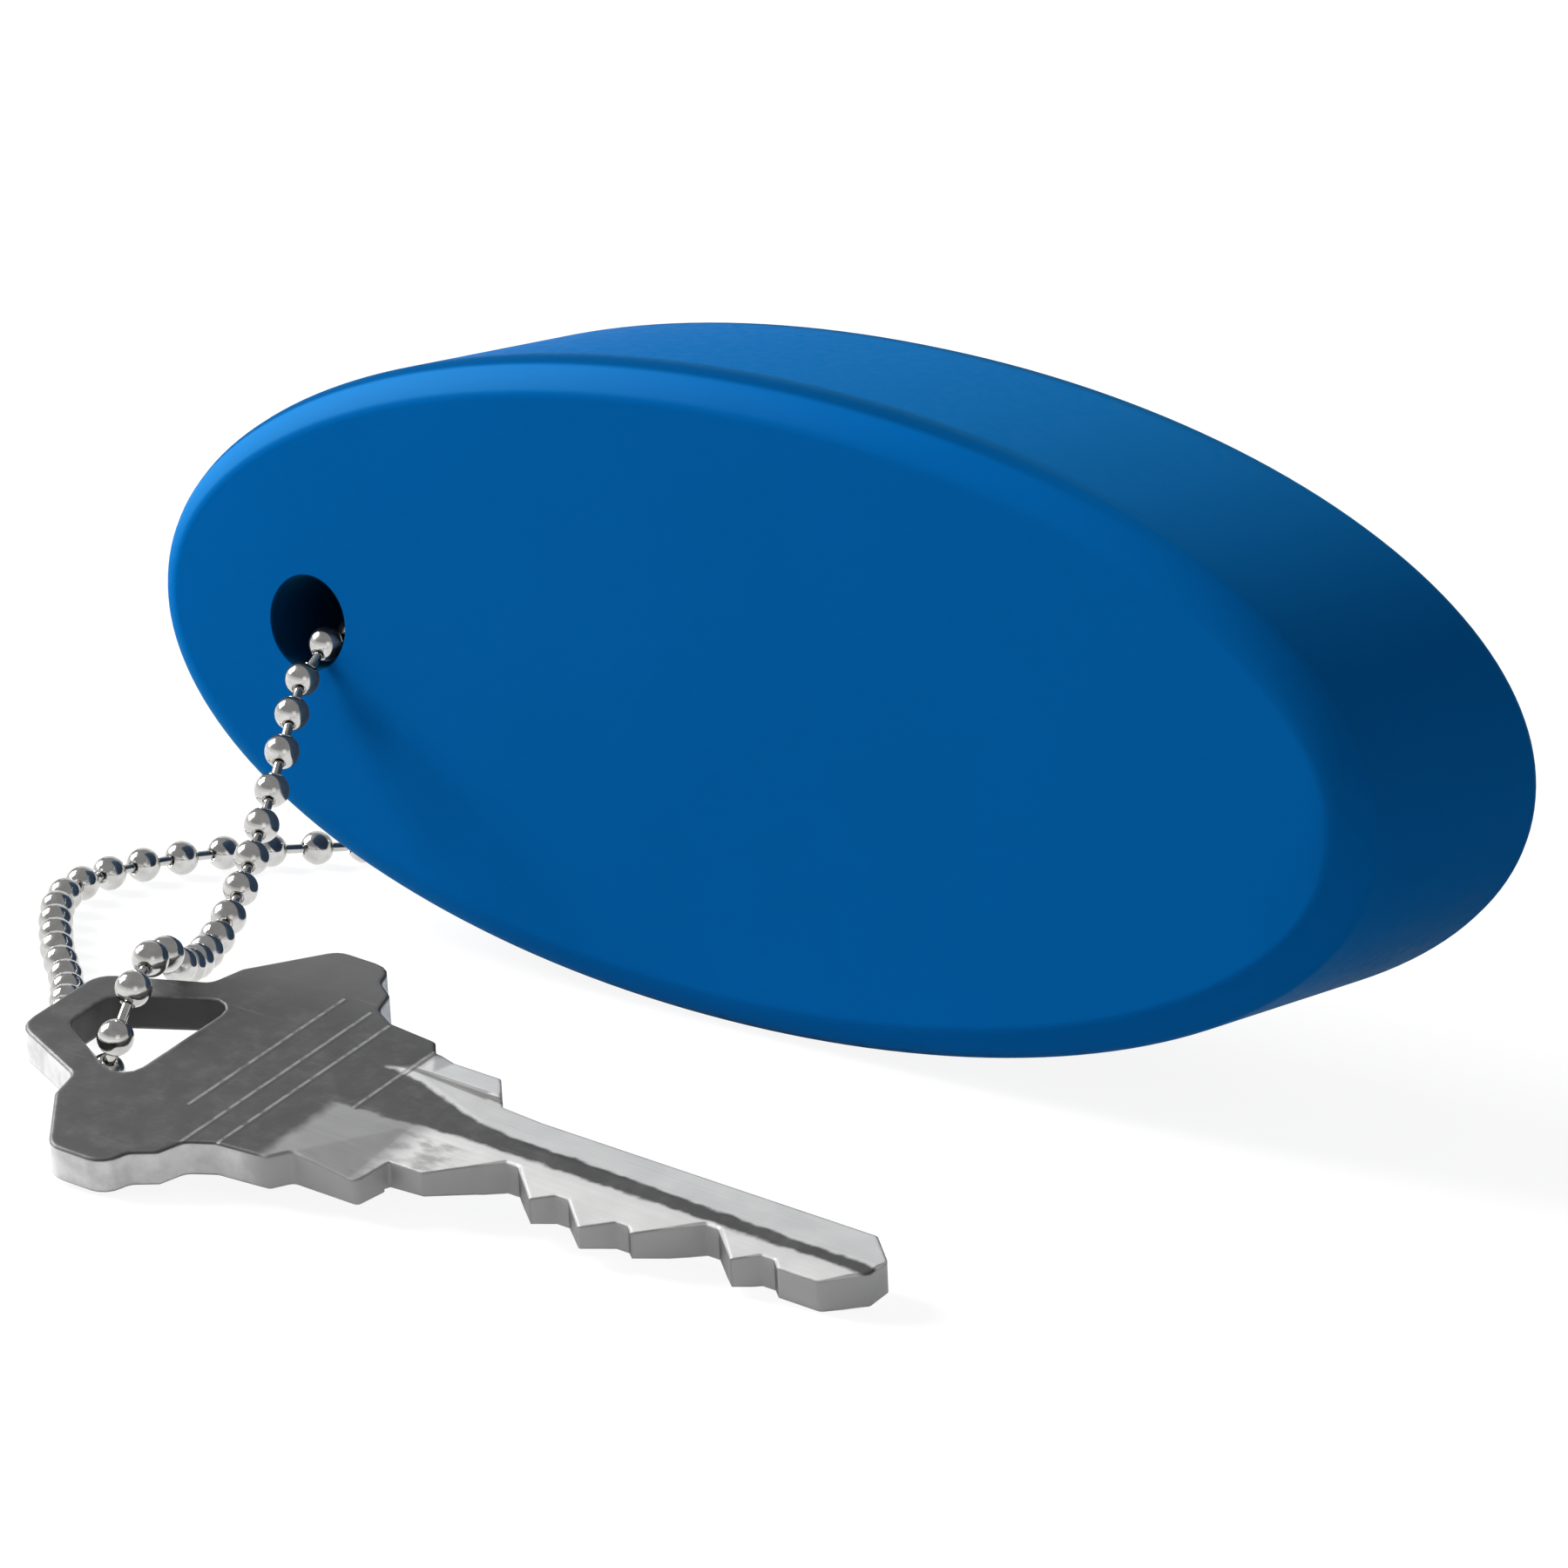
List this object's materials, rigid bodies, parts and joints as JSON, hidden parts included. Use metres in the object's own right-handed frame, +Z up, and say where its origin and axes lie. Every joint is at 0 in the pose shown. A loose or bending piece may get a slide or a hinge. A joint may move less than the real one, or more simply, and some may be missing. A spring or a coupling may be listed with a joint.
{
  "type": "floating keychain",
  "caption": "Flat oval foam key float on a loop of ball chain that carries a house key, standing on its rim with the chain and key laid out in front.",
  "frame": {"origin": "on the ground under the middle of the float, which stands on its rim; the ground is z = 0", "axes": "+X along the float's long axis, away from its chain hole; -Y out of the face in front of which the key lies; +Z up"},
  "size_m": [0.0849, 0.0735, 0.0365],
  "materials": {
    "foam": "satin closed-cell foam",
    "key_metal": "satin nickel plate",
    "chain_metal": "polished nickel plate"
  },
  "bodies": {
    "root": {"ball_01": "chain_metal", "ball_02": "chain_metal", "ball_03": "chain_metal", "ball_04": "chain_metal", "ball_05": "chain_metal", "ball_06": "chain_metal", "ball_07": "chain_metal", "ball_08": "chain_metal", "ball_09": "chain_metal", "ball_10": "chain_metal", "ball_11": "chain_metal", "ball_12": "chain_metal", "ball_13": "chain_metal", "ball_14": "chain_metal", "ball_15": "chain_metal", "ball_16": "chain_metal", "ball_17": "chain_metal", "ball_18": "chain_metal", "ball_19": "chain_metal", "ball_20": "chain_metal", "ball_21": "chain_metal", "ball_22": "chain_metal", "ball_23": "chain_metal", "ball_24": "chain_metal", "ball_25": "chain_metal", "ball_26": "chain_metal", "ball_27": "chain_metal", "ball_28": "chain_metal", "ball_29": "chain_metal", "ball_30": "chain_metal", "ball_31": "chain_metal", "ball_32": "chain_metal", "ball_33": "chain_metal", "ball_34": "chain_metal", "ball_35": "chain_metal", "ball_36": "chain_metal", "ball_37": "chain_metal", "ball_38": "chain_metal", "ball_39": "chain_metal", "ball_40": "chain_metal", "ball_41": "chain_metal", "ball_42": "chain_metal", "ball_43": "chain_metal", "ball_44": "chain_metal", "ball_45": "chain_metal", "ball_46": "chain_metal", "ball_47": "chain_metal", "ball_48": "chain_metal", "ball_49": "chain_metal", "ball_50": "chain_metal", "ball_51": "chain_metal", "ball_52": "chain_metal", "ball_53": "chain_metal", "ball_54": "chain_metal", "ball_55": "chain_metal", "ball_56": "chain_metal", "chain_coupling": "chain_metal", "float_body": "foam", "house_key": "key_metal"}
  },
  "joints": []
}
